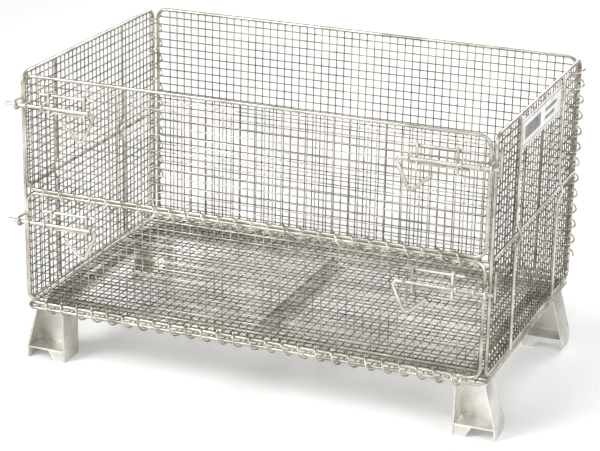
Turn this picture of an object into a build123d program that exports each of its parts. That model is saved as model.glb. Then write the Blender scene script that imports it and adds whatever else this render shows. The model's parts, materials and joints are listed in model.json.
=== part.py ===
"""Collapsible wire mesh container with a two-leaf drop gate, on four stacking feet.

Millimetres, +X along the length, +Y from the gate to the back, +Z up.
The feet stand on Z = 0. Every panel is a bent wire rim filled with welded mesh.
Panels are joined by spiral coils, each threaded round the rims of two panels.
"""

from build123d import *
import math
import os

# Overall layout
LENGTH = 807.0  # centre to centre of the base rim's ends
DEPTH = 502.0  # centre to centre of the base rim's front and back
Y_MID = 4.0  # middle of the basket, so that latches and coils balance about Y = 0
BASE_Z = 105.0  # base rim above the floor
GATE_Y = Y_MID - DEPTH / 2
BACK_Y = Y_MID + DEPTH / 2
END_X = LENGTH / 2

# Wire and mesh
RIM_D = 6.0
MESH_D = 2.0
BAR_D = 5.0
MESH_PITCH = 14.3
ROW_PITCH = 13.9
GATE_ROWS = 14
BASE_ROWS = 35
END_PITCH = 14.35
RIM_CORNER = 18.0
LAYER = MESH_D / 2  # each wire layer stands this far from the panel's plane

# Panels
PANEL_LIFT = 10.0  # bottom rims of gate, back and ends above the base rim
GATE_HEIGHT = GATE_ROWS * ROW_PITCH
GATE_GAP = 6.6  # between the two leaves' neighbouring rims
LOWER_Z = BASE_Z + PANEL_LIFT
UPPER_Z = LOWER_Z + GATE_HEIGHT + GATE_GAP
TOP_Z = UPPER_Z + GATE_HEIGHT
WALL_HEIGHT = TOP_Z - LOWER_Z
PANEL_IN = 7.0  # a panel's outer rim wire, in from the base rim or the end panel beside it
GATE_HALF = END_X - PANEL_IN
END_HALF = DEPTH / 2 - PANEL_IN
WALL_ROWS = 28
BACK_SIDE_GAP = 16.0  # keeps the back's outermost upright wires clear of the corner coils

# Coils
COIL_D = 3.2
COIL_PITCH = 2 * MESH_PITCH
WALL_COIL_PITCH = 2 * WALL_HEIGHT / WALL_ROWS
BASE_COIL_R = 11.0
MIDDLE_COIL_R = 9.8
CORNER_COIL_R = 12.0
MIDDLE_AXIS_Y = GATE_Y - GATE_GAP / 2
CORNER_AXIS_IN = 4.0  # a corner coil's axis, in from the end panel and from the back panel
CORNER_X = END_X - CORNER_AXIS_IN
CORNER_Y = BACK_Y - CORNER_AXIS_IN

# Latches
BOLT_D = 6.0
BOLT_DROP = 46.0  # bolt below its leaf's top rim
BOLT_Y = GATE_Y - 15.5
BAR_Y = GATE_Y - MESH_D - BAR_D / 2
UPRIGHT_Y = BAR_Y - BAR_D
BAR_UP = 19.0
BAR_DOWN = 9.6
GUIDE_D = 3.0
GUIDE_R = 5.0
GUIDE_X = (272.0, 356.0, 385.0)
UPRIGHT_X = (283.0, 348.0)
EYE_D = 4.0
EYE_R = 7.0
LEFT_TIP, LEFT_BEND = 424.0, 260.0
RIGHT_TIP, RIGHT_BEND = 414.0, 250.0
HANDLE_POINT_OUT, HANDLE_POINT_DROP = 25.0, 54.0  # the V handle's point, from the bend
HANDLE_END_OUT, HANDLE_END_DROP = 60.0, 22.0
HANDLE_BEND = 7.0
BAR_INNER, BAR_OUTER = 268.0, 366.0
UPRIGHT_DOWN, UPRIGHT_UP = 18.0, 26.0

# Underframe and feet
CHANNEL_Z = BASE_Z - MESH_D
CHANNEL_H = 12.0
SHEET = 2.0
LONG_CHANNEL_W = 48.0
CROSS_CHANNEL_W = 40.0
LONG_CHANNEL_Y = 205.0
CROSS_CHANNEL_X = 380.0
FOOT_TOP = CHANNEL_Z - CHANNEL_H
FOOT_SHEET = 3.0
FOOT_DEPTH = 53.0
FOOT_INNER = 348.0
FOOT_OUTER_TOP = 400.0
FOOT_OUTER = 419.0
FOOT_SKIRT = 20.0
FOOT_FRONT = 227.0  # outermost edge of a foot from the basket's middle
WEB_TOP_SET, WEB_LOW_SET = 26.0, 41.0
TOE_LOW, TOE_TOP = 22.0, 32.0

os.makedirs("parts", exist_ok=True)


def save(builder, name):
    """Labels a finished sub-part and writes its STEP file."""
    builder.part.label = name
    export_step(builder.part, f"parts/{name}.step")
    print(name, len(builder.part.solids()), "solids")


def rod(start, end, diameter):
    """Adds a straight round rod from start to end as its own solid."""
    run = Vector(*end) - Vector(*start)
    with BuildSketch(Plane(origin=start, z_dir=run)) as section:
        Circle(diameter / 2)
    extrude(section.sketch, amount=run.length, clean=False)


def bent_rod(points, radius, diameter):
    """Adds a round rod bent through the points, with the same bend radius at each."""
    with BuildLine() as path:
        if len(points) == 2:
            Line(*points)
        else:
            FilletPolyline(*points, radius=radius)
    wire = path.wire()
    with BuildSketch(Plane(origin=wire @ 0, z_dir=wire % 0)) as section:
        Circle(diameter / 2)
    sweep(section.sketch, path=wire, clean=False)


def rim(plane, width, height, corner):
    """Adds a closed rounded loop of rim wire, centred on the plane's origin."""
    with BuildSketch(plane) as outline:
        RectangleRounded(width, height, corner)
    path = outline.sketch.wire()
    with BuildSketch(Plane(origin=path @ 0, z_dir=path % 0)) as section:
        Circle(RIM_D / 2)
    sweep(section.sketch, path=path)


def inset(position, half, corner):
    """How much shorter a wire ends where it meets a rounded corner of the rim."""
    into = abs(position) - (half - corner)
    if into <= 0:
        return RIM_D / 2
    bend = corner - RIM_D / 2
    return corner - math.sqrt(max(bend**2 - (into + LAYER) ** 2, 0))


def mesh(plane, width, height, pitch_across, pitch_up, corner, side_gap=RIM_D):
    """Adds two layers of straight wires inside a rim, one solid for each wire."""
    half_w, half_h = width / 2, height / 2
    ups = math.ceil((half_w - side_gap) / pitch_across) - 1
    for index in range(-ups, ups + 1):
        x = index * pitch_across
        reach = half_h - inset(x, half_w, corner)
        start = plane.from_local_coords((x, -reach, -LAYER))
        end = plane.from_local_coords((x, reach, -LAYER))
        rod(tuple(start), tuple(end), MESH_D)
    rows = round(height / pitch_up)
    for index in range(1, rows):
        y = -half_h + index * pitch_up
        reach = half_w - inset(y, half_h, corner)
        start = plane.from_local_coords((-reach, y, LAYER))
        end = plane.from_local_coords((reach, y, LAYER))
        rod(tuple(start), tuple(end), MESH_D)


def coil(centre, direction, radius, pitch, turns, phase):
    """Adds a right-handed coil that passes angle 0 at phase past the centre, along direction."""
    axis = Vector(*direction)
    zero = Vector(0, 1, 0) if axis.X else Vector(1, 0, 0)
    with BuildLine() as one_turn:
        Helix(pitch, pitch, radius, direction=direction)
    start_angle = zero.get_signed_angle(one_turn.wire() @ 0, axis)
    first = phase + pitch * start_angle / 360 - pitch * (turns // 2)
    start = Vector(*centre) + axis * first
    with BuildLine() as path:
        Helix(pitch, pitch * turns, radius, center=start, direction=direction)
    wire = path.wire()
    with BuildSketch(Plane(origin=wire @ 0, z_dir=wire % 0)) as section:
        Circle(COIL_D / 2)
    sweep(section.sketch, path=wire, is_frenet=True)


def staple(x, y_back, y_centre, z_centre, radius, diameter):
    """Adds a U of wire across the plane of x that passes in front of a bolt."""
    with BuildLine(Plane(origin=(x, 0, 0), x_dir=(0, 1, 0), z_dir=(1, 0, 0))) as path:
        Line((y_back, z_centre + radius), (y_centre, z_centre + radius))
        ThreePointArc(
            (y_centre, z_centre + radius),
            (y_centre - radius, z_centre),
            (y_centre, z_centre - radius),
        )
        Line((y_centre, z_centre - radius), (y_back, z_centre - radius))
    wire = path.wire()
    with BuildSketch(Plane(origin=wire @ 0, z_dir=wire % 0)) as section:
        Circle(diameter / 2)
    sweep(section.sketch, path=wire)


def channel_run(plane, width, length):
    """Adds an upward open channel of folded sheet, run along the plane's normal."""
    with BuildSketch(plane) as section:
        Rectangle(width, CHANNEL_H, align=(Align.CENTER, Align.MIN))
        with Locations((0, SHEET)):
            Rectangle(width - 2 * SHEET, CHANNEL_H, align=(Align.CENTER, Align.MIN), mode=Mode.SUBTRACT)
    extrude(section.sketch, amount=length / 2, both=True)


# Base: rim, mesh and the sheet channels below it
base_plane = Plane(origin=(0, Y_MID, BASE_Z), x_dir=(1, 0, 0), z_dir=(0, 0, 1))
with BuildPart() as base_rim:
    rim(base_plane, LENGTH, DEPTH, RIM_CORNER)
save(base_rim, "base_rim")

with BuildPart() as base_mesh:
    mesh(base_plane, LENGTH, DEPTH, MESH_PITCH, DEPTH / BASE_ROWS, RIM_CORNER)
save(base_mesh, "base_mesh")

for side, name in ((-1, "front_channel"), (1, "rear_channel")):
    with BuildPart() as channel:
        section = Plane(
            origin=(0, Y_MID + side * LONG_CHANNEL_Y, CHANNEL_Z - CHANNEL_H), x_dir=(0, 1, 0), z_dir=(1, 0, 0)
        )
        channel_run(section, LONG_CHANNEL_W, 2 * (CROSS_CHANNEL_X + CROSS_CHANNEL_W / 2))
    save(channel, name)

cross_length = 2 * LONG_CHANNEL_Y - LONG_CHANNEL_W
for side, name in ((-1, "left_channel"), (0, "middle_channel"), (1, "right_channel")):
    with BuildPart() as channel:
        section = Plane(
            origin=(side * CROSS_CHANNEL_X, Y_MID, CHANNEL_Z - CHANNEL_H), x_dir=(-1, 0, 0), z_dir=(0, 1, 0)
        )
        channel_run(section, CROSS_CHANNEL_W, cross_length)
    save(channel, name)


def foot(side, front_y):
    """Adds one bent-sheet stacking foot. side is -1 at the left end and 1 at the right."""
    outline = [
        (side * FOOT_INNER, FOOT_TOP),
        (side * FOOT_OUTER_TOP, FOOT_TOP),
        (side * FOOT_OUTER, FOOT_SKIRT),
        (side * FOOT_OUTER, 0),
        (side * FOOT_INNER, 0),
    ]
    lean = FOOT_SHEET * math.hypot(1, (FOOT_OUTER - FOOT_OUTER_TOP) / (FOOT_TOP - FOOT_SKIRT))
    front = Plane(origin=(0, front_y, 0), x_dir=(1, 0, 0), z_dir=(0, -1, 0))
    # The slanted web, the ledge at its foot and the toe, as one folded strip
    with BuildSketch(Plane(origin=(side * FOOT_INNER, 0, 0), x_dir=(0, 1, 0), z_dir=(1, 0, 0))) as strip:
        with BuildLine():
            Polyline(
                (front_y + WEB_TOP_SET, FOOT_TOP),
                (front_y + WEB_LOW_SET, FOOT_SKIRT),
                (front_y, FOOT_SKIRT),
                (front_y, 0),
                (front_y + FOOT_SHEET, 0),
                (front_y + FOOT_SHEET, FOOT_SKIRT - FOOT_SHEET),
                (front_y + WEB_LOW_SET + FOOT_SHEET, FOOT_SKIRT - FOOT_SHEET),
                (front_y + WEB_TOP_SET + FOOT_SHEET, FOOT_TOP),
                close=True,
            )
        make_face()
    extrude(strip.sketch, amount=side * (FOOT_OUTER - FOOT_INNER))
    with BuildSketch(front) as whole:
        with BuildLine():
            Polyline(*outline, close=True)
        make_face()
    extrude(whole.sketch, amount=-FOOT_DEPTH, mode=Mode.INTERSECT)
    # The toe is cut back on the outer side, so that the ledge seats on a rim below
    with BuildSketch(front) as notch:
        with BuildLine():
            Polyline(
                (side * (FOOT_INNER + TOE_LOW), 0),
                (side * (FOOT_INNER + TOE_TOP), FOOT_SKIRT - FOOT_SHEET),
                (side * FOOT_OUTER, FOOT_SKIRT - FOOT_SHEET),
                (side * FOOT_OUTER, 0),
                close=True,
            )
        make_face()
    extrude(notch.sketch, amount=-FOOT_DEPTH, mode=Mode.SUBTRACT)
    # The two side plates
    with BuildSketch(front) as plates:
        with BuildLine():
            Polyline(
                (side * FOOT_INNER, FOOT_TOP),
                (side * (FOOT_INNER + FOOT_SHEET), FOOT_TOP),
                (side * (FOOT_INNER + FOOT_SHEET), 0),
                (side * FOOT_INNER, 0),
                close=True,
            )
        make_face()
        with BuildLine():
            Polyline(
                (side * FOOT_OUTER_TOP, FOOT_TOP),
                (side * FOOT_OUTER, FOOT_SKIRT),
                (side * FOOT_OUTER, 0),
                (side * (FOOT_OUTER - FOOT_SHEET), 0),
                (side * (FOOT_OUTER - FOOT_SHEET), FOOT_SKIRT),
                (side * (FOOT_OUTER_TOP - lean), FOOT_TOP),
                close=True,
            )
        make_face()
    extrude(plates.sketch, amount=-FOOT_DEPTH)


front_foot_y = Y_MID - FOOT_FRONT
rear_foot_y = Y_MID + FOOT_FRONT - FOOT_DEPTH
for row, front_y in (("front", front_foot_y), ("rear", rear_foot_y)):
    for end, side in (("left", -1), ("right", 1)):
        with BuildPart() as one_foot:
            foot(side, front_y)
        save(one_foot, f"foot_{row}_{end}")

# Back and end panels
back_plane = Plane(origin=(0, BACK_Y, LOWER_Z + WALL_HEIGHT / 2), x_dir=(-1, 0, 0), z_dir=(0, 1, 0))
with BuildPart() as back_rim:
    rim(back_plane, 2 * GATE_HALF, WALL_HEIGHT, RIM_CORNER)
save(back_rim, "back_rim")

with BuildPart() as back_mesh:
    row_pitch = WALL_HEIGHT / WALL_ROWS
    mesh(back_plane, 2 * GATE_HALF, WALL_HEIGHT, MESH_PITCH, row_pitch, RIM_CORNER, BACK_SIDE_GAP)
save(back_mesh, "back_mesh")

RIB_OFF = MESH_D + BAR_D / 2
RIB_KINK = 9.0
RIB_BEND = 6.0
RIB_Y = 125.0
KINK_HALF = 22.0
MIDDLE_Z = LOWER_Z + WALL_HEIGHT / 2
RAIL_SHORT = 22.0  # the rail stops short of the corner coil
STOP_BAR_IN = 12.0
STOP_BAR_HALF = 24.0
for end, side in (("left", -1), ("right", 1)):
    end_plane = Plane(origin=(side * END_X, Y_MID, MIDDLE_Z), x_dir=(0, side, 0), z_dir=(side, 0, 0))
    with BuildPart() as end_rim:
        rim(end_plane, 2 * END_HALF, WALL_HEIGHT, RIM_CORNER)
    save(end_rim, f"{end}_end_rim")

    with BuildPart() as end_mesh:
        mesh(end_plane, 2 * END_HALF, WALL_HEIGHT, END_PITCH, WALL_HEIGHT / WALL_ROWS, RIM_CORNER)
    save(end_mesh, f"{end}_end_mesh")

    rib_x = side * (END_X + RIB_OFF)
    with BuildPart() as end_ribs:
        for rib_side in (-1, 1):
            y = Y_MID + rib_side * RIB_Y
            bent_rod(
                [
                    (rib_x, y, LOWER_Z + RIM_D / 2),
                    (rib_x, y, MIDDLE_Z - KINK_HALF),
                    (rib_x + side * RIB_KINK, y, MIDDLE_Z),
                    (rib_x, y, MIDDLE_Z + KINK_HALF),
                    (rib_x, y, TOP_Z - RIM_D / 2),
                ],
                RIB_BEND,
                BAR_D,
            )
    save(end_ribs, f"{end}_end_ribs")

    rail_reach = END_HALF - RIM_D / 2
    rail_rear = Y_MID + rail_reach - RAIL_SHORT
    with BuildPart() as end_rail:
        rod((rib_x, Y_MID - rail_reach, MIDDLE_Z), (rib_x, rail_rear, MIDDLE_Z), BAR_D)
    save(end_rail, f"{end}_end_rail")

    front_y = Y_MID - END_HALF
    with BuildPart() as end_eyes:
        for bottom in (LOWER_Z, UPPER_Z):
            bolt_z = bottom + GATE_HEIGHT - BOLT_DROP
            staple(side * END_X, front_y - RIM_D / 2, BOLT_Y, bolt_z, EYE_R, EYE_D)
    save(end_eyes, f"{end}_end_eyes")

    with BuildPart() as end_stops:
        for bottom in (LOWER_Z, UPPER_Z):
            bolt_z = bottom + GATE_HEIGHT - BOLT_DROP
            y = front_y + STOP_BAR_IN
            rod((rib_x, y, bolt_z - STOP_BAR_HALF), (rib_x, y, bolt_z + STOP_BAR_HALF), BAR_D)
    save(end_stops, f"{end}_end_short_bars")

LABEL_W, LABEL_H, LABEL_T, LABEL_DROP = 232.0, 48.0, 1.0, 12.0
LABEL_CORNER = 3.0
label_middle = (END_X + MESH_D, Y_MID, TOP_Z - LABEL_DROP - LABEL_H / 2)
with BuildPart() as label_plate:
    with BuildSketch(Plane(origin=label_middle, x_dir=(0, 1, 0), z_dir=(1, 0, 0))):
        RectangleRounded(LABEL_W, LABEL_H, LABEL_CORNER)
    extrude(amount=LABEL_T)
save(label_plate, "label_plate")


def bolt(side, tip, bend, z):
    """Adds a latch bolt: a straight rod with its inner end bent into a V handle."""
    sign = 1 if side > 0 else -1
    bent_rod(
        [
            (sign * tip, BOLT_Y, z),
            (sign * bend, BOLT_Y, z),
            (sign * (bend + HANDLE_POINT_OUT), BOLT_Y, z - HANDLE_POINT_DROP),
            (sign * (bend + HANDLE_END_OUT), BOLT_Y, z - HANDLE_END_DROP),
        ],
        HANDLE_BEND,
        BOLT_D,
    )


# The two gate leaves, each with a latch at both ends
for leaf, bottom in (("lower", LOWER_Z), ("upper", UPPER_Z)):
    leaf_plane = Plane(
        origin=(0, GATE_Y, bottom + GATE_HEIGHT / 2), x_dir=(1, 0, 0), z_dir=(0, -1, 0)
    )
    with BuildPart() as gate_rim:
        rim(leaf_plane, 2 * GATE_HALF, GATE_HEIGHT, RIM_CORNER)
    save(gate_rim, f"{leaf}_gate_rim")

    with BuildPart() as gate_mesh:
        mesh(leaf_plane, 2 * GATE_HALF, GATE_HEIGHT, MESH_PITCH, ROW_PITCH, RIM_CORNER)
    save(gate_mesh, f"{leaf}_gate_mesh")

    bolt_z = bottom + GATE_HEIGHT - BOLT_DROP
    for end, side, tip, bend in (("left", -1, LEFT_TIP, LEFT_BEND), ("right", 1, RIGHT_TIP, RIGHT_BEND)):
        with BuildPart() as housing:
            for z in (bolt_z + BAR_UP, bolt_z - BAR_DOWN):
                rod((side * BAR_INNER, BAR_Y, z), (side * BAR_OUTER, BAR_Y, z), BAR_D)
            for x in UPRIGHT_X:
                low, high = bolt_z - UPRIGHT_DOWN, bolt_z + UPRIGHT_UP
                rod((side * x, UPRIGHT_Y, low), (side * x, UPRIGHT_Y, high), BAR_D)
        save(housing, f"{leaf}_{end}_latch_bars")

        with BuildPart() as guides:
            for x in GUIDE_X:
                staple(side * x, GATE_Y - MESH_D, BOLT_Y, bolt_z, GUIDE_R, GUIDE_D)
        save(guides, f"{leaf}_{end}_bolt_guides")

        with BuildPart() as one_bolt:
            bolt(side, tip, bend, bolt_z)
        save(one_bolt, f"{leaf}_{end}_bolt")

# Hinge coils
COIL_SHIFT = 2.5  # moves the base coils' strands clear of the base mesh wires
COIL_TURNS = 26
coil_axis_z = BASE_Z + PANEL_LIFT / 2
for name, y, phase in (("front_coil", GATE_Y, -COIL_SHIFT), ("rear_coil", BACK_Y, COIL_SHIFT)):
    with BuildPart() as base_coil:
        coil((0, y, coil_axis_z), (1, 0, 0), BASE_COIL_R, COIL_PITCH, COIL_TURNS, phase)
    save(base_coil, name)

middle_axis_z = UPPER_Z - GATE_GAP / 2
with BuildPart() as middle_coil:
    coil((0, MIDDLE_AXIS_Y, middle_axis_z), (1, 0, 0), MIDDLE_COIL_R, COIL_PITCH, COIL_TURNS, 0)
save(middle_coil, "middle_coil")

CORNER_TURNS = 12
CORNER_ANGLE = math.degrees(math.asin(CORNER_AXIS_IN / CORNER_COIL_R))
END_OFFSET = 2.0
for name, side in (("left_corner_coil", -1), ("right_corner_coil", 1)):
    # The strand passes the end panel's plane 2 mm off the middle between two wires
    end_angle = -90 + side * CORNER_ANGLE
    cell_middle = MIDDLE_Z + WALL_COIL_PITCH / 4
    phase_z = cell_middle - side * END_OFFSET - WALL_COIL_PITCH * end_angle / 360
    with BuildPart() as corner_coil:
        coil(
            (side * CORNER_X, CORNER_Y, phase_z),
            (0, 0, 1),
            CORNER_COIL_R,
            WALL_COIL_PITCH,
            CORNER_TURNS,
            0,
        )
    save(corner_coil, name)
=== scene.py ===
# %% [markdown]
# A wire mesh container is a warehouse basket made from bent wire rims, welded mesh, spiral
# coils and folded sheet feet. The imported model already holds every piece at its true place,
# so it is loaded first, and everything that follows is measured from it.

import json
import math

import bmesh
import bpy
from mathutils import Matrix, Vector


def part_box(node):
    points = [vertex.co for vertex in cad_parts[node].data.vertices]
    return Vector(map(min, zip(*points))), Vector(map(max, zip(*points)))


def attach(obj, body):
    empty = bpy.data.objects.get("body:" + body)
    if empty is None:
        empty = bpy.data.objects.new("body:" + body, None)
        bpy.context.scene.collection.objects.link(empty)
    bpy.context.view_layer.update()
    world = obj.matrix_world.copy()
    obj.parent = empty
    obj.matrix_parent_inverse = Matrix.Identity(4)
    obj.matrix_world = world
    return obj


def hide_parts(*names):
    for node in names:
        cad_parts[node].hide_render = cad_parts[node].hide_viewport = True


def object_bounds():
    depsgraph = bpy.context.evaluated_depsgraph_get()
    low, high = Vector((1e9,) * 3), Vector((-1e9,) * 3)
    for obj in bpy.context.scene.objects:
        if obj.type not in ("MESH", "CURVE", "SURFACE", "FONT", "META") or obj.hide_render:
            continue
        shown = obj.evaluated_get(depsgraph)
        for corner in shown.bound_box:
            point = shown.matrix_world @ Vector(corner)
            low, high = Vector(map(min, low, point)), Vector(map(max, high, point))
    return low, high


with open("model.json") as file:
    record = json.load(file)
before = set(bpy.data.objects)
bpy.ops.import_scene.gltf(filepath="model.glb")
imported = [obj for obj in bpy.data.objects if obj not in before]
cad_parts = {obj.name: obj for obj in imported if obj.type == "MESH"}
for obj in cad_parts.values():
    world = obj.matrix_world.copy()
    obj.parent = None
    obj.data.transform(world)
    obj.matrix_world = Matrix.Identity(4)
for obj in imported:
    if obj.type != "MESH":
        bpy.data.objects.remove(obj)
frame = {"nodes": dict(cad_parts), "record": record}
cad_low, cad_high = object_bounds()
MM = 0.001
print("container", [round(v / MM) for v in cad_high - cad_low], "mm")

# %% [markdown]
# The camera looks from in front and above, a little to the right, with a long lens. It could
# be turned by angles or by three directions of its own. Three directions are used here,
# because the small roll is then only a turn of two of them.

# %% Camera
LENS, SENSOR = 123.74, 36.0  # millimetres, as Blender's camera takes them
AZIMUTH, ELEVATION, ROLL = 0.3770, 0.3440, 0.018  # radians
CAMERA_PLACE = Vector((1.2167, -3.0902, 1.4193))
camera_back = Vector((math.sin(AZIMUTH), -math.cos(AZIMUTH), 0)) * math.cos(ELEVATION)
camera_back.z = math.sin(ELEVATION)
level_right = Vector((math.cos(AZIMUTH), math.sin(AZIMUTH), 0))
level_up = camera_back.cross(level_right)
camera_right = level_right * math.cos(ROLL) + level_up * math.sin(ROLL)
camera_up = level_up * math.cos(ROLL) - level_right * math.sin(ROLL)
camera_data = bpy.data.cameras.new("camera")
camera_data.lens = LENS
camera_data.sensor_width = SENSOR
camera = bpy.data.objects.new("camera", camera_data)
camera_turn = Matrix((camera_right, camera_up, camera_back)).transposed().to_4x4()
camera.matrix_world = Matrix.Translation(CAMERA_PLACE) @ camera_turn
bpy.context.scene.collection.objects.link(camera)
bpy.context.scene.camera = camera
print("camera at", [round(v, 2) for v in CAMERA_PLACE])

# %% [markdown]
# Plated wire shows its roundness only if it has something dark and something bright to
# mirror. A plain white surround would make it flat. So the surround is a soft gradient that
# is bright overhead and dim at eye level, over a pale floor, and four wide lamps add the
# bright streaks.

# %% Floor
FLOOR_HALF = 14.0
FLOOR_PALE = (0.95, 0.95, 0.95, 1)
floor_mesh = bpy.data.meshes.new("floor")
corners = [
    (-FLOOR_HALF, -FLOOR_HALF, 0),
    (FLOOR_HALF, -FLOOR_HALF, 0),
    (FLOOR_HALF, FLOOR_HALF, 0),
    (-FLOOR_HALF, FLOOR_HALF, 0),
]
floor_mesh.from_pydata(corners, [], [(0, 1, 2, 3)])
floor = bpy.data.objects.new("floor", floor_mesh)
bpy.context.scene.collection.objects.link(floor)
floor_paint = bpy.data.materials.new("pale_floor")
floor_paint.use_nodes = True
floor_shader = floor_paint.node_tree.nodes["Principled BSDF"]
floor_shader.inputs["Base Color"].default_value = FLOOR_PALE
floor_shader.inputs["Roughness"].default_value = 0.95
floor_shader.inputs["Specular IOR Level"].default_value = 0.1
floor_mesh.materials.append(floor_paint)
print("floor", 2 * FLOOR_HALF, "m across")

# %% Soft surround
EYE_LEVEL, OVERHEAD = 0.05, 0.55
OVERHEAD_FROM = 0.85  # how far up the sky is at its full strength, where straight up is 1
SKY_TINT = (1.0, 0.995, 0.985, 1)
studio = bpy.data.worlds.new("studio")
studio.use_nodes = True
sky = studio.node_tree
sky_coord = sky.nodes.new("ShaderNodeTexCoord")
sky_split = sky.nodes.new("ShaderNodeSeparateXYZ")
sky_ramp = sky.nodes.new("ShaderNodeMapRange")
sky_ramp.interpolation_type = "SMOOTHSTEP"
sky_ramp.inputs["From Min"].default_value = 0.0
sky_ramp.inputs["From Max"].default_value = OVERHEAD_FROM
sky_ramp.inputs["To Min"].default_value = EYE_LEVEL
sky_ramp.inputs["To Max"].default_value = OVERHEAD
sky.links.new(sky_coord.outputs["Generated"], sky_split.inputs[0])
sky.links.new(sky_split.outputs["Z"], sky_ramp.inputs["Value"])
sky.links.new(sky_ramp.outputs[0], sky.nodes["Background"].inputs["Strength"])
sky.nodes["Background"].inputs["Color"].default_value = SKY_TINT
bpy.context.scene.world = studio
bpy.context.scene.view_settings.view_transform = "Standard"
print("surround", EYE_LEVEL, "at eye level,", OVERHEAD, "overhead")


# %% Lamps
def soft_lamp(name, place, width, power):
    """A square lamp that looks at the middle of the container, in metres and watts."""
    data = bpy.data.lights.new(name, "AREA")
    data.shape = "SQUARE"
    data.size = width
    data.energy = power
    obj = bpy.data.objects.new(name, data)
    obj.location = place
    aim = (cad_low + cad_high) / 2 - Vector(place)
    obj.rotation_euler = aim.to_track_quat("-Z", "Y").to_euler()
    bpy.context.scene.collection.objects.link(obj)
    print(name, "lamp,", power, "W")


soft_lamp("key", place=(-2.0, -2.7, 2.5), width=1.8, power=125)
soft_lamp("front", place=(1.2, -3.9, 1.0), width=1.6, power=42)
soft_lamp("fill", place=(3.1, -1.3, 1.9), width=1.4, power=40)
soft_lamp("behind", place=(0.4, 3.2, 2.5), width=2.2, power=80)

# %% [markdown]
# Zinc plating is a thin bright metal skin. On drawn wire it is streaky and a little stained,
# and on sheet it shows large soft crystals. One node group makes the plating for both, with
# its own colours and scales each time, and a second adds the grey dust and the rubbed, bright
# scuffs of a used basket. Groups give out only colours, values and heights, and the shader
# stays in each material.

# %% Helpers for node groups
def new_group(name, inputs, outputs):
    """An empty shader group with (name, type, value) inputs and (name, type) outputs."""
    group = bpy.data.node_groups.new(name, "ShaderNodeTree")
    for label, kind, value in inputs:
        socket = group.interface.new_socket(label, in_out="INPUT", socket_type=kind)
        socket.default_value = value
    for label, kind in outputs:
        group.interface.new_socket(label, in_out="OUTPUT", socket_type=kind)
    start = group.nodes.new("NodeGroupInput")
    end = group.nodes.new("NodeGroupOutput")
    return group, start, end


def add_noise(tree, vector, scale, detail=3.0, roughness=0.55):
    """A noise texture whose scale is a number or a socket."""
    noise = tree.nodes.new("ShaderNodeTexNoise")
    noise.inputs["Detail"].default_value = detail
    noise.inputs["Roughness"].default_value = roughness
    tree.links.new(vector, noise.inputs["Vector"])
    if isinstance(scale, (int, float)):
        noise.inputs["Scale"].default_value = scale
    else:
        tree.links.new(scale, noise.inputs["Scale"])
    return noise.outputs["Fac"]


def add_range(tree, value, low, high, to_low=0.0, to_high=1.0):
    """Stretches a value from low..high to to_low..to_high, and clamps it."""
    node = tree.nodes.new("ShaderNodeMapRange")
    node.inputs["From Min"].default_value = low
    node.inputs["From Max"].default_value = high
    node.inputs["To Min"].default_value = to_low
    node.inputs["To Max"].default_value = to_high
    tree.links.new(value, node.inputs["Value"])
    return node.outputs[0]


def add_math(tree, operation, first, second):
    """One math node between two sockets, or a socket and a number."""
    node = tree.nodes.new("ShaderNodeMath")
    node.operation = operation
    for index, value in enumerate((first, second)):
        if isinstance(value, (int, float)):
            node.inputs[index].default_value = value
        else:
            tree.links.new(value, node.inputs[index])
    return node.outputs[0]


def add_mix(tree, factor, first, second):
    """Mixes two colour sockets, or a socket and a fixed colour."""
    node = tree.nodes.new("ShaderNodeMix")
    node.data_type = "RGBA"
    tree.links.new(factor, node.inputs["Factor"])
    for socket, value in ((node.inputs[6], first), (node.inputs[7], second)):
        if isinstance(value, tuple):
            socket.default_value = value
        else:
            tree.links.new(value, socket)
    return node.outputs[2]


# %% The plating group
COLOUR, FLOAT, VECTOR = "NodeSocketColor", "NodeSocketFloat", "NodeSocketVector"
GRAIN_SHARE = 0.12  # how much the fine grain lightens or darkens the stains
MATT_WHERE_DULL, MATT_WHERE_BRIGHT = 0.14, -0.06  # added to the roughness
plating, plate_in, plate_out = new_group(
    "zinc_plating",
    [
        ("Vector", VECTOR, (0, 0, 0)),
        ("Bright", COLOUR, (0.75, 0.74, 0.70, 1)),
        ("Dull", COLOUR, (0.45, 0.44, 0.41, 1)),
        ("Stain Scale", FLOAT, 14.0),
        ("Crystal Scale", FLOAT, 60.0),
        ("Crystal Strength", FLOAT, 0.0),
        ("Grain Scale", FLOAT, 900.0),
        ("Roughness", FLOAT, 0.34),
    ],
    [("Color", COLOUR), ("Roughness", FLOAT), ("Height", FLOAT)],
)
plate_place = plate_in.outputs["Vector"]
stain = add_noise(plating, plate_place, plate_in.outputs["Stain Scale"], 6.0, 0.62)
stain = add_range(plating, stain, 0.36, 0.66)
grain = add_noise(plating, plate_place, plate_in.outputs["Grain Scale"], 2.0)
crystal = plating.nodes.new("ShaderNodeTexVoronoi")
plating.links.new(plate_place, crystal.inputs["Vector"])
plating.links.new(plate_in.outputs["Crystal Scale"], crystal.inputs["Scale"])
crystal_grey = plating.nodes.new("ShaderNodeSeparateColor")
plating.links.new(crystal.outputs["Color"], crystal_grey.inputs[0])
crystal_part = add_math(plating, "SUBTRACT", crystal_grey.outputs[0], 0.5)
crystal_part = add_math(plating, "MULTIPLY", crystal_part, plate_in.outputs["Crystal Strength"])
grain_part = add_range(plating, grain, 0.3, 0.7, -GRAIN_SHARE, GRAIN_SHARE)
tone = add_math(plating, "ADD", stain, crystal_part)
tone = add_math(plating, "ADD", tone, grain_part)
tone = add_range(plating, tone, 0.0, 1.0)
skin = add_mix(plating, tone, plate_in.outputs["Dull"], plate_in.outputs["Bright"])
plating.links.new(skin, plate_out.inputs["Color"])
matt = add_range(plating, tone, 0.0, 1.0, MATT_WHERE_DULL, MATT_WHERE_BRIGHT)
matt = add_math(plating, "ADD", matt, plate_in.outputs["Roughness"])
plating.links.new(matt, plate_out.inputs["Roughness"])
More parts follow.
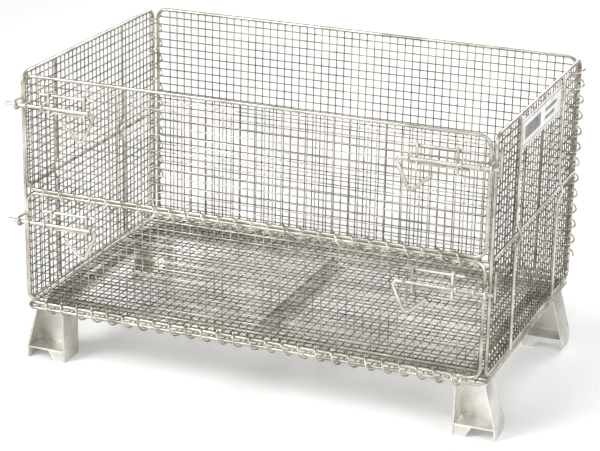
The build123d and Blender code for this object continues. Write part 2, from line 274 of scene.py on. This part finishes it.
plating.links.new(grain, plate_out.inputs["Height"])
print("group", plating.name, len(plating.nodes), "nodes")

# %% The dust and scuff group
BARE_METAL = (0.86, 0.85, 0.82, 1)
DUST_GREY = (0.50, 0.48, 0.44, 1)
SPECKLE_SCALE, RUB_SCALE = 55.0, 120.0
SCUFF_SHINE, DUST_MATT = -0.12, 0.4  # added to the roughness
DUSTED_METAL = 0.35  # how metallic it still looks under full dust
wear, wear_in, wear_out = new_group(
    "dust_and_scuffs",
    [
        ("Vector", VECTOR, (0, 0, 0)),
        ("Color", COLOUR, (0.6, 0.6, 0.6, 1)),
        ("Roughness", FLOAT, 0.4),
        ("Dust", FLOAT, 0.3),
        ("Scuffs", FLOAT, 0.4),
    ],
    [("Color", COLOUR), ("Roughness", FLOAT), ("Metal", FLOAT)],
)
facing = wear.nodes.new("ShaderNodeNewGeometry")
facing_split = wear.nodes.new("ShaderNodeSeparateXYZ")
wear.links.new(facing.outputs["Normal"], facing_split.inputs[0])
upward = add_range(wear, facing_split.outputs["Z"], 0.25, 1.0)
speckle = add_noise(wear, wear_in.outputs["Vector"], SPECKLE_SCALE, 5.0)
speckle = add_range(wear, speckle, 0.42, 0.68)
dusty = add_math(wear, "MULTIPLY", upward, speckle)
dusty = add_math(wear, "MULTIPLY", dusty, wear_in.outputs["Dust"])
stretch = wear.nodes.new("ShaderNodeMapping")
stretch.inputs["Scale"].default_value = (1.0, 1.0, 3.2)
wear.links.new(wear_in.outputs["Vector"], stretch.inputs["Vector"])
rubbed = add_noise(wear, stretch.outputs[0], RUB_SCALE, 4.0, 0.7)
rubbed = add_range(wear, rubbed, 0.57, 0.70)
rubbed = add_math(wear, "MULTIPLY", rubbed, wear_in.outputs["Scuffs"])
shown = add_mix(wear, rubbed, wear_in.outputs["Color"], BARE_METAL)
shown = add_mix(wear, dusty, shown, DUST_GREY)
wear.links.new(shown, wear_out.inputs["Color"])
smooth = add_math(wear, "MULTIPLY", rubbed, SCUFF_SHINE)
smooth = add_math(wear, "ADD", smooth, wear_in.outputs["Roughness"])
smooth = add_math(wear, "ADD", smooth, add_math(wear, "MULTIPLY", dusty, DUST_MATT))
wear.links.new(smooth, wear_out.inputs["Roughness"])
metal = add_range(wear, dusty, 0.0, 1.0, 1.0, DUSTED_METAL)
wear.links.new(metal, wear_out.inputs["Metal"])
print("group", wear.name, len(wear.nodes), "nodes")

# %% [markdown]
# Every metal piece has the same two groups in one metallic shader, and differs only in its
# values. The sheet has wide crystals and the wire fine streaks. The gate's mesh is the
# brightest and the base's the darkest. The metal is the same in all of them. Part of that
# difference stands for thicker wire than this model has, and the rest is painted light and
# shade: the gate's colours are a painted lit copy, and the base's a painted shaded copy, for
# deeper shade than this studio gives.

# %% Materials for wire, coil, bar and sheet
RELIEF_DEPTH = 0.4 * MM


def zinc_material(
    name, bright, dull, stain_scale, grain_scale, roughness, dust, scuffs, crystals=0.1, bump=0.25
):
    """A plated finish: plating group, then dust and scuffs, then one metallic shader."""
    made = bpy.data.materials.new(name)
    made.use_nodes = True
    tree = made.node_tree
    shader = tree.nodes["Principled BSDF"]
    place = tree.nodes.new("ShaderNodeTexCoord").outputs["Object"]
    skin = tree.nodes.new("ShaderNodeGroup")
    skin.node_tree = plating
    skin.inputs["Bright"].default_value = bright
    skin.inputs["Dull"].default_value = dull
    skin.inputs["Stain Scale"].default_value = stain_scale
    skin.inputs["Crystal Strength"].default_value = crystals
    skin.inputs["Grain Scale"].default_value = grain_scale
    skin.inputs["Roughness"].default_value = roughness
    used = tree.nodes.new("ShaderNodeGroup")
    used.node_tree = wear
    used.inputs["Dust"].default_value = dust
    used.inputs["Scuffs"].default_value = scuffs
    tree.links.new(place, skin.inputs["Vector"])
    tree.links.new(place, used.inputs["Vector"])
    tree.links.new(skin.outputs["Color"], used.inputs["Color"])
    tree.links.new(skin.outputs["Roughness"], used.inputs["Roughness"])
    tree.links.new(used.outputs["Color"], shader.inputs["Base Color"])
    tree.links.new(used.outputs["Roughness"], shader.inputs["Roughness"])
    tree.links.new(used.outputs["Metal"], shader.inputs["Metallic"])
    relief = tree.nodes.new("ShaderNodeBump")
    relief.inputs["Strength"].default_value = bump
    relief.inputs["Distance"].default_value = RELIEF_DEPTH
    tree.links.new(skin.outputs["Height"], relief.inputs["Height"])
    tree.links.new(relief.outputs["Normal"], shader.inputs["Normal"])
    print("material", name)
    return made


# %% The nine plated finishes
plated = {
    "rim_wire": dict(
        bright=(0.70, 0.67, 0.59, 1), dull=(0.27, 0.25, 0.205, 1),
        stain_scale=16, grain_scale=1400, roughness=0.30, dust=0.25, scuffs=0.5,
    ),
    "mesh_wire": dict(
        bright=(0.40, 0.365, 0.30, 1), dull=(0.09, 0.08, 0.06, 1),
        stain_scale=22, grain_scale=2200, roughness=0.36, dust=0.35, scuffs=0.3,
    ),
    # Gate mesh: the same metal in brighter colours, a painted lit copy standing for the front
    # light.
    "gate_mesh_painted_light": dict(
        bright=(0.70, 0.655, 0.56, 1), dull=(0.22, 0.20, 0.162, 1),
        stain_scale=22, grain_scale=2200, roughness=0.30, dust=0.2, scuffs=0.5,
    ),
    # Base mesh: the same metal in darker colours, partly painted shade and partly a stand-in for
    # thicker wire.
    "floor_mesh": dict(
        bright=(0.30, 0.27, 0.215, 1), dull=(0.07, 0.062, 0.047, 1),
        stain_scale=22, grain_scale=2200, roughness=0.42, dust=0.4, scuffs=0.2,
    ),
    "bar_wire": dict(
        bright=(0.84, 0.81, 0.74, 1), dull=(0.40, 0.38, 0.33, 1),
        stain_scale=20, grain_scale=1500, roughness=0.32, dust=0.3, scuffs=0.5,
    ),
    "bolt_wire": dict(
        bright=(0.86, 0.83, 0.76, 1), dull=(0.46, 0.435, 0.38, 1),
        stain_scale=24, grain_scale=1500, roughness=0.26, dust=0.15, scuffs=0.8,
    ),
    "coil_wire": dict(
        bright=(0.80, 0.77, 0.69, 1), dull=(0.26, 0.24, 0.195, 1),
        stain_scale=26, grain_scale=1800, roughness=0.24, dust=0.3, scuffs=0.5,
    ),
    "sheet_zinc": dict(
        bright=(0.90, 0.885, 0.845, 1), dull=(0.66, 0.645, 0.60, 1),
        stain_scale=7, grain_scale=500, roughness=0.40, dust=0.25, scuffs=0.25,
        crystals=0.45, bump=0.12,
    ),
    "weld_metal": dict(
        bright=(0.30, 0.275, 0.225, 1), dull=(0.09, 0.08, 0.062, 1),
        stain_scale=60, grain_scale=2600, roughness=0.44, dust=0.3, scuffs=0.1,
    ),
}
finishes = {name: zinc_material(name, **looks) for name, looks in plated.items()}

# %% [markdown]
# The label plate is a thin painted sheet fixed to the right end. It could carry an image
# texture, but plain masks on the coordinates are enough for a border and a few blank blocks,
# with a little grime and some fine scratches over them.

# %% Label grime and scratches
label_paint = bpy.data.materials.new("label_white")
label_paint.use_nodes = True
paint_tree = label_paint.node_tree
paint_shader = paint_tree.nodes["Principled BSDF"]
paint_place = paint_tree.nodes.new("ShaderNodeTexCoord").outputs["Object"]
grime = add_noise(paint_tree, paint_place, 28.0, 6.0, 0.65)
grime = add_range(paint_tree, grime, 0.45, 0.75)
scratch_map = paint_tree.nodes.new("ShaderNodeMapping")
scratch_map.inputs["Scale"].default_value = (1.0, 0.25, 2.0)
paint_tree.links.new(paint_place, scratch_map.inputs["Vector"])
scratch = add_noise(paint_tree, scratch_map.outputs[0], 260.0, 3.0, 0.6)
scratch = add_range(paint_tree, scratch, 0.66, 0.72)
print("label grime and scratches,", len(paint_tree.nodes), "nodes")

# %% Label print
BORDER_OUTSIDE, BORDER_INSIDE = 3.5 * MM, 5.0 * MM
# How far along and up a block's middle is from the label's middle, and its two half sizes.
BLOCKS = [
    (-55 * MM, 0, 45 * MM, 11 * MM),
    (50 * MM, 6 * MM, 34 * MM, 3 * MM),
    (44 * MM, -7 * MM, 28 * MM, 3 * MM),
]
label_low, label_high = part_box("label_plate")
label_middle = (label_low + label_high) / 2
label_half = (label_high - label_low) / 2
label_split = paint_tree.nodes.new("ShaderNodeSeparateXYZ")
paint_tree.links.new(paint_place, label_split.inputs[0])


def within(axis, centre, half):
    """A mask that is one where the label's coordinate is within half of centre."""
    off = add_math(paint_tree, "SUBTRACT", label_split.outputs[axis], centre)
    off = add_math(paint_tree, "ABSOLUTE", off, 0.0)
    return add_math(paint_tree, "LESS_THAN", off, half)


def label_block(y_off, z_off, y_half, z_half):
    """A plain printed rectangle, placed from the label's middle."""
    level = within("Y", label_middle.y + y_off, y_half)
    upright = within("Z", label_middle.z + z_off, z_half)
    return add_math(paint_tree, "MULTIPLY", level, upright)


def label_field(inset):
    """The whole label, less an even inset."""
    return label_block(0, 0, label_half.y - inset, label_half.z - inset)


printed = add_math(
    paint_tree, "SUBTRACT", label_field(BORDER_OUTSIDE), label_field(BORDER_INSIDE)
)
for block in BLOCKS:
    printed = add_math(paint_tree, "MAXIMUM", printed, label_block(*block))
print("label border and", len(BLOCKS), "blocks")

# %% Label paint
WHITE_PAINT, GRIMY_PAINT = (0.86, 0.855, 0.83, 1), (0.62, 0.60, 0.55, 1)
INK, SCRATCHED = (0.10, 0.10, 0.105, 1), (0.45, 0.44, 0.42, 1)
CLEAN_GLOSS, GRIMY_GLOSS = 0.32, 0.6
painted = add_mix(paint_tree, grime, WHITE_PAINT, GRIMY_PAINT)
painted = add_mix(paint_tree, printed, painted, INK)
painted = add_mix(paint_tree, scratch, painted, SCRATCHED)
paint_gloss = add_range(paint_tree, grime, 0.0, 1.0, CLEAN_GLOSS, GRIMY_GLOSS)
paint_tree.links.new(painted, paint_shader.inputs["Base Color"])
paint_tree.links.new(paint_gloss, paint_shader.inputs["Roughness"])
paint_shader.inputs["Coat Weight"].default_value = 0.2
finishes["label_white"] = label_paint
print("material label_white")

# %% [markdown]
# The rims, coils, bolts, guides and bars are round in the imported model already. They could be
# drawn again as curves, but nothing would be gained, so they keep their shape and only take a
# finish. The pieces that need more shape than that are made after this.

# %% Finish every carried-over piece
record = frame["record"]
slot_of = {part["node"]: part["material_slot"] for part in record["subparts"]}
body_of = {
    node: body for body, nodes in record["behaviour"]["bodies"].items() for node in nodes
}
for name, node in frame["nodes"].items():
    node.data.materials.clear()
    node.data.materials.append(finishes[slot_of[name]])
print(len(frame["nodes"]), "pieces finished")


# %% Helpers for new pieces
def new_piece(name, mesh, node, finish=None):
    """Turns a mesh in its true place into a piece that rides with a CAD node's body."""
    obj = bpy.data.objects.new(name, mesh)
    bpy.context.scene.collection.objects.link(obj)
    mesh.materials.append(finishes[finish or slot_of[node]])
    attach(obj, body_of[node])
    return obj


def smooth_all(mesh):
    """Marks every face smooth."""
    for face in mesh.polygons:
        face.use_smooth = True


def repeat(obj, count, step):
    """Repeats a piece in a line by an Array with a fixed step."""
    array = obj.modifiers.new("repeat", "ARRAY")
    array.count = count
    array.use_relative_offset = False
    array.use_constant_offset = True
    array.constant_offset_displace = step


# %% [markdown]
# Each panel's mesh is a layer of upright wires and a layer of rows. A machine presses and
# welds every crossing, so the wires sink into each other a little. Each layer is one coarse
# eight-sided wire, repeated by an Array. The small weld at each crossing is one squashed
# bead, repeated by two Arrays, and a bigger bead tacks each end of a wire to the rim. A few
# dozen faces a bead are enough, as there are thousands.

# %% A wire and a weld bead
WIRE = 2.0 * MM
WIRE_SIDES = 8
TIP_LENGTH, TIP_SHARE = 0.12 * WIRE, 0.76
BEAD_SIDES = 8
BEAD_RINGS = ((-0.5, 0.62), (0.0, 1.0), (0.5, 0.62))  # height and width, as shares
BEAD_POLE = 0.66


def ring_walls(rings, sides, first=0):
    """The faces between rings of vertices that follow one another."""
    walls = []
    for ring in range(rings - 1):
        for k in range(sides):
            a = first + ring * sides + k
            b = first + ring * sides + (k + 1) % sides
            walls.append((a, b, b + sides, a + sides))
    return walls


def wire_mesh(name, start, end):
    """A coarse straight wire between two points, with rounded end rings."""
    run = end - start
    turn = run.to_track_quat("Z", "Y").to_matrix()
    rings = [
        (0.0, TIP_SHARE),
        (TIP_LENGTH, 1.0),
        (run.length - TIP_LENGTH, 1.0),
        (run.length, TIP_SHARE),
    ]
    verts = []
    for along, share in rings:
        for k in range(WIRE_SIDES):
            angle = 2 * math.pi * k / WIRE_SIDES
            local = Vector((math.cos(angle), math.sin(angle), 0)) * WIRE / 2 * share
            local.z = along
            verts.append(start + turn @ local)
    faces = ring_walls(len(rings), WIRE_SIDES)
    faces.append(tuple(reversed(range(WIRE_SIDES))))
    faces.append(tuple(range(len(verts) - WIRE_SIDES, len(verts))))
    mesh = bpy.data.meshes.new(name)
    mesh.from_pydata(verts, [], faces)
    smooth_all(mesh)
    return mesh


def beads_mesh(name, centres, across, upwards, normal, radius, thick):
    """Squashed weld beads, each with three rings and two poles, as one mesh."""
    verts, faces = [], []
    for centre in centres:
        first = len(verts)
        for height, share in BEAD_RINGS:
            for k in range(BEAD_SIDES):
                angle = 2 * math.pi * k / BEAD_SIDES
                flat = across * math.cos(angle) + upwards * math.sin(angle)
                verts.append(centre + flat * radius * share + normal * thick * height)
        faces += ring_walls(len(BEAD_RINGS), BEAD_SIDES, first)
        low_pole, high_pole = len(verts), len(verts) + 1
        last_ring = low_pole - BEAD_SIDES
        pole = normal * thick * BEAD_POLE
        verts += [centre - pole, centre + pole]
        for k in range(BEAD_SIDES):
            beside = (k + 1) % BEAD_SIDES
            faces.append((low_pole, first + beside, first + k))
            faces.append((high_pole, last_ring + k, last_ring + beside))
    mesh = bpy.data.meshes.new(name)
    mesh.from_pydata(verts, [], faces)
    # The three directions may be left-handed, so the faces are turned outwards here.
    work = bmesh.new()
    work.from_mesh(mesh)
    bmesh.ops.recalc_face_normals(work, faces=work.faces)
    work.to_mesh(mesh)
    work.free()
    smooth_all(mesh)
    return mesh


# %% One panel's mesh
X, Y, Z = Vector((1, 0, 0)), Vector((0, 1, 0)), Vector((0, 0, 1))
PITCH, END_PITCH = 14.3 * MM, 14.35 * MM
SIDE_GAP, BACK_SIDE_GAP = 6.0 * MM, 16.0 * MM
SINK = 0.16 * MM
WIRE_BITE, TACK_BITE = 0.9 * MM, 0.2 * MM  # how far each reaches into the rim
CROSSING_BEAD = (1.35 * MM, 1.5 * MM)  # radius and thickness
TACK_BEAD = (1.7 * MM, 3.0 * MM)


def both_ends(middle, direction, reach):
    """The two ends of a wire, from its middle."""
    return middle - direction * reach, middle + direction * reach


def mesh_panel(panel, across, upwards, normal, rows, finish, pitch=PITCH, side_gap=SIDE_GAP):
    """Uprights, rows, welds and end tacks in one rim, along the panel's own directions."""
    node = f"{panel}_mesh"
    low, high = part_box(f"{panel}_rim")
    centre = (low + high) / 2
    rim_wire = min(high - low)
    half_w = abs((high - low).dot(across)) / 2 - rim_wire / 2
    half_h = abs((high - low).dot(upwards)) / 2 - rim_wire / 2
    inside_w, inside_h = half_w - rim_wire / 2, half_h - rim_wire / 2
    each_side = math.ceil((half_w - side_gap) / pitch) - 1
    upright_count, row_count = 2 * each_side + 1, rows - 1
    row_pitch = 2 * half_h / rows
    upright_step, row_step = across * pitch, upwards * row_pitch
    to_side = across * each_side * pitch
    to_bottom = upwards * (half_h - row_pitch)
    layer = WIRE / 2 - SINK
    first_upright = centre - to_side - normal * layer
    first_row = centre - to_bottom + normal * layer

    upright = wire_mesh("upright", *both_ends(first_upright, upwards, inside_h + WIRE_BITE))
    uprights = new_piece(f"{panel}_uprights", upright, node, finish)
    repeat(uprights, upright_count, upright_step)
    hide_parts(node)
    row = wire_mesh("row", *both_ends(first_row, across, inside_w + WIRE_BITE))
    repeat(new_piece(f"{panel}_rows", row, node, finish), row_count, row_step)
    first_crossing = centre - to_side - to_bottom
    bead = beads_mesh("bead", [first_crossing], across, upwards, normal, *CROSSING_BEAD)
    welds = new_piece(f"{panel}_welds", bead, node, "weld_metal")
    repeat(welds, upright_count, upright_step)
    repeat(welds, row_count, row_step)
    tacked = [
        ("upright", first_upright, upwards, inside_h, upright_count, upright_step),
        ("row", first_row, across, inside_w, row_count, row_step),
    ]
    for kind, middle, direction, inside, count, step in tacked:
        ends = both_ends(middle, direction, inside + TACK_BITE)
        tack = beads_mesh("tack", ends, across, upwards, normal, *TACK_BEAD)
        repeat(new_piece(f"{panel}_{kind}_tacks", tack, node, "weld_metal"), count, step)
    print(panel, upright_count, "uprights,", row_count, "rows")


# %% The six panels
panels = {
    # The gates take a painted lit copy and the base a painted shaded copy of the one mesh metal.
    "base": dict(across=X, upwards=Y, normal=Z, rows=35, finish="floor_mesh"),
    "lower_gate": dict(across=X, upwards=Z, normal=-Y, rows=14, finish="gate_mesh_painted_light"),
    "upper_gate": dict(across=X, upwards=Z, normal=-Y, rows=14, finish="gate_mesh_painted_light"),
    "back": dict(
        across=-X, upwards=Z, normal=Y, rows=28, finish="mesh_wire", side_gap=BACK_SIDE_GAP
    ),
    "left_end": dict(
        across=-Y, upwards=Z, normal=-X, rows=28, finish="mesh_wire", pitch=END_PITCH
    ),
    "right_end": dict(
        across=Y, upwards=Z, normal=X, rows=28, finish="mesh_wire", pitch=END_PITCH
    ),
}
for panel, plan in panels.items():
    mesh_panel(panel, **plan)

# %% [markdown]
# Each latch has two level bars and two uprights across them, spot welded where they cross. The
# bars keep their CAD shape, and the four welds of a latch are added as one small mesh of
# squashed beads, because a weld that shows as a bump in a material has no outline.

# %% Latch welds
UPRIGHT_SETS = (15.0 * MM, 80.0 * MM)
UPRIGHT_FOOT = 18.0 * MM
BAR_HEIGHTS = (19.0 * MM, -9.6 * MM)
LATCH_BEAD = (3.3 * MM, 3.2 * MM)  # radius and thickness


def latch_welds(node, side):
    """Four beads where the latch's bars and uprights cross, between the two layers."""
    low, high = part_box(node)
    inner = low.x if side > 0 else high.x
    between = (low.y + high.y) / 2
    bolt_height = low.z + UPRIGHT_FOOT
    crossings = [
        Vector((inner + side * along, between, bolt_height + above))
        for along in UPRIGHT_SETS
        for above in BAR_HEIGHTS
    ]
    welds = beads_mesh("latch_welds", crossings, X, Z, -Y, *LATCH_BEAD)
    new_piece(f"{node}_welds", welds, node, "weld_metal")
    print(node, len(crossings), "welds")


for leaf in ("lower", "upper"):
    latch_welds(f"{leaf}_left_latch_bars", -1)
    latch_welds(f"{leaf}_right_latch_bars", 1)

# %% [markdown]
# A foot is one piece of thick sheet, folded so that a slanted web stands between two side
# plates, with a ledge and a toe at its front. It could be a solid block cut hollow, but real
# folds are round. So each wall is a flat cage, a Bevel rounds its folds, a Solidify gives it
# the sheet's thickness, and a second Bevel breaks the cut edges.

# %% Folded sheet
FOLD_SEGMENTS, EDGE_SEGMENTS = 4, 2
CUT_EDGE, CUT_EDGE_ANGLE = 0.5 * MM, math.radians(50)


def sheet_piece(name, verts, faces, node, thickness, fold):
    """A flat cage that modifiers turn into folded sheet."""
    mesh = bpy.data.meshes.new(name)
    mesh.from_pydata(verts, [], faces)
    smooth_all(mesh)
    obj = new_piece(name, mesh, node)
    if fold:
        round_folds = obj.modifiers.new("folds", "BEVEL")
        round_folds.width = fold
        round_folds.segments = FOLD_SEGMENTS
        round_folds.limit_method = "ANGLE"
    thick = obj.modifiers.new("sheet", "SOLIDIFY")
    thick.thickness = thickness
    thick.offset = 0.0
    edges = obj.modifiers.new("cut_edges", "BEVEL")
    edges.width = CUT_EDGE
    edges.segments = EDGE_SEGMENTS
    edges.limit_method = "ANGLE"
    edges.angle_limit = CUT_EDGE_ANGLE
    return obj


# %% Feet
FOOT_SHEET, FOOT_FOLD = 3.0 * MM, 4.0 * MM
WEB_TOP_SET, WEB_LOW_SET = 26.0 * MM, 41.0 * MM
WEB_BELOW_TOP = 0.2 * MM
SKIRT = 20.0 * MM
TOE_LOW, TOE_TOP = 22.0 * MM, 32.0 * MM
OUTER_TOP_IN = 19.0 * MM


def foot_walls(node, side):
    """The web strip, the toe and the two side plates of one foot."""
    low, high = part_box(node)
    front, rear, top = low.y, high.y, high.z
    half = FOOT_SHEET / 2
    inner, outer = (low.x, high.x) if side > 0 else (high.x, low.x)
    inner_wall, outer_wall = inner + side * half, outer - side * half
    toe_front, ledge = front + half, SKIRT - half

    def outer_at(z):
        lean = OUTER_TOP_IN * max(0.0, (z - SKIRT) / (top - SKIRT))
        return outer - side * lean - side * half

    web = [
        (front + WEB_TOP_SET + half, top - WEB_BELOW_TOP),
        (front + WEB_LOW_SET + half, ledge),
        (toe_front, ledge),
    ]
    strip = [(inner_wall, y, z) for y, z in web] + [(outer_at(z), y, z) for y, z in web]
    strip_faces = [(0, 3, 4, 1), (1, 4, 5, 2)]
    if side < 0:
        strip_faces = [tuple(reversed(face)) for face in strip_faces]
    toe = [
        (inner_wall, toe_front, ledge),
        (inner + side * TOE_TOP, toe_front, ledge),
        (inner + side * TOE_LOW, toe_front, 0.0),
        (inner_wall, toe_front, 0.0),
    ]
    toe_face = (0, 1, 2, 3) if side < 0 else (3, 2, 1, 0)
    inside = [
        (inner_wall, front, top),
        (inner_wall, rear, top),
        (inner_wall, rear, 0.0),
        (inner_wall, front, 0.0),
    ]
    outside = [
        (outer_at(top), front, top),
        (outer_at(top), rear, top),
        (outer_wall, rear, SKIRT),
        (outer_wall, front, SKIRT),
        (outer_wall, rear, 0.0),
        (outer_wall, front, 0.0),
    ]
    outside_faces = [(0, 1, 2, 3), (3, 2, 4, 5)]
    folded = sheet_piece(f"{node}_web", strip, strip_faces, node, FOOT_SHEET, FOOT_FOLD)
    sheet_piece(f"{node}_toe", toe, [toe_face], node, FOOT_SHEET, 0)
    sheet_piece(f"{node}_inner_plate", inside, [(0, 1, 2, 3)], node, FOOT_SHEET, 0)
    sheet_piece(f"{node}_outer_plate", outside, outside_faces, node, FOOT_SHEET, FOOT_FOLD)
    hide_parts(node)
    print(node, "four walls")


for row in ("front", "rear"):
    foot_walls(f"foot_{row}_left", -1)
    foot_walls(f"foot_{row}_right", 1)

# %% [markdown]
# Five shallow channels of folded sheet carry the base. Each is drawn as an open U, so that the
# same Bevel and Solidify give it round folds and an even wall.

# %% Base channels
CHANNEL_SHEET, CHANNEL_FOLD = 2.0 * MM, 2.5 * MM
CHANNEL_FACES = [(0, 4, 5, 1), (1, 5, 6, 2), (2, 6, 7, 3)]
channel_runs = {
    "front_channel": "x",
    "rear_channel": "x",
    "left_channel": "y",
    "middle_channel": "y",
    "right_channel": "y",
}


def channel_piece(node, run):
    """One folded channel that fills the CAD channel's box and runs along x or y."""
    low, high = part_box(node)
    half = CHANNEL_SHEET / 2
    if run == "x":
        ends, near, far = (low.x, high.x), low.y + half, high.y - half
    else:
        ends, near, far = (high.y, low.y), low.x + half, high.x - half
    floor_z = low.z + half
    profile = [(near, high.z), (near, floor_z), (far, floor_z), (far, high.z)]
    if run == "x":
        verts = [(end, side, z) for end in ends for side, z in profile]
    else:
        verts = [(side, end, z) for end in ends for side, z in profile]
    name = f"{node}_folded"
    folded = sheet_piece(name, verts, CHANNEL_FACES, node, CHANNEL_SHEET, CHANNEL_FOLD)
    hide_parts(node)
    print(node, "along", run)


for node, run in channel_runs.items():
    channel_piece(node, run)
